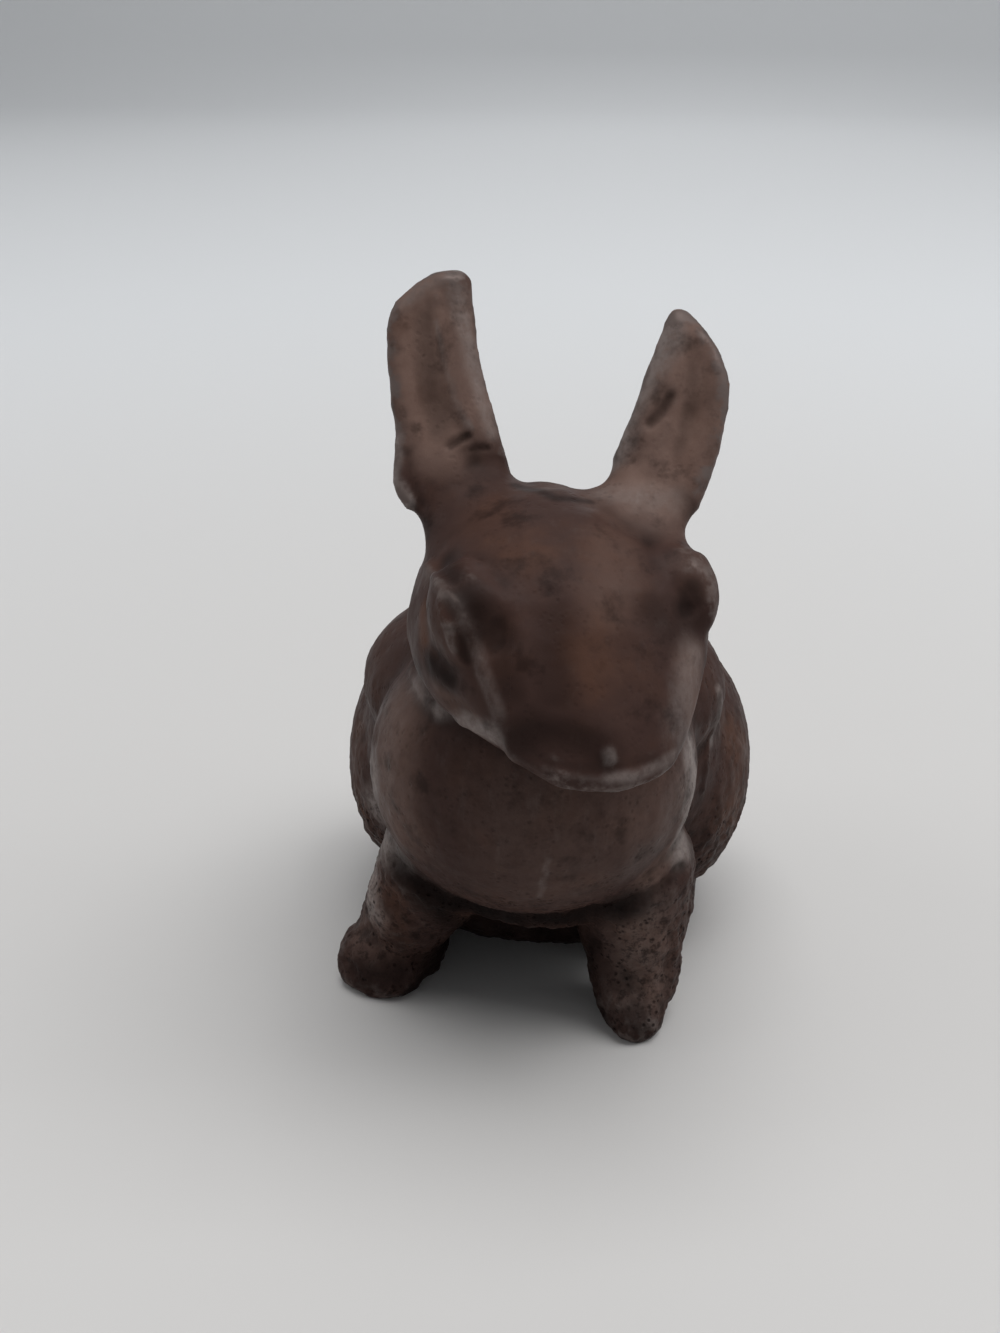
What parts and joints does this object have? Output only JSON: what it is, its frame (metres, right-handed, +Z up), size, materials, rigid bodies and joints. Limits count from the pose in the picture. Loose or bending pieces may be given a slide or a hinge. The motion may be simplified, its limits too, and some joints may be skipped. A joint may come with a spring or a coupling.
{
  "type": "rabbit figurine",
  "caption": "Small seated rabbit ornament of browned cast iron, cast hollow as two halves that a tie screw and a square nut hold together. Stands free on its feet.",
  "frame": {"origin": "on the floor plane under the middle of the rabbit's width and length", "axes": "+Z up, -Y the way the body faces, +X to the rabbit's own left"},
  "size_m": [0.0574, 0.0866, 0.0961],
  "materials": {
    "left_iron": "browned, waxed and worn grey on the edges, rough as cast",
    "right_iron": "browned, waxed and worn grey on the edges, rough as cast",
    "screw_steel": "dulled steel with brown stain",
    "nut_steel": "dulled steel with brown stain"
  },
  "bodies": {
    "root": {"left_half_casting": "left_iron", "right_half_casting": "right_iron", "tie_screw": "screw_steel", "square_nut": "nut_steel"}
  },
  "joints": []
}
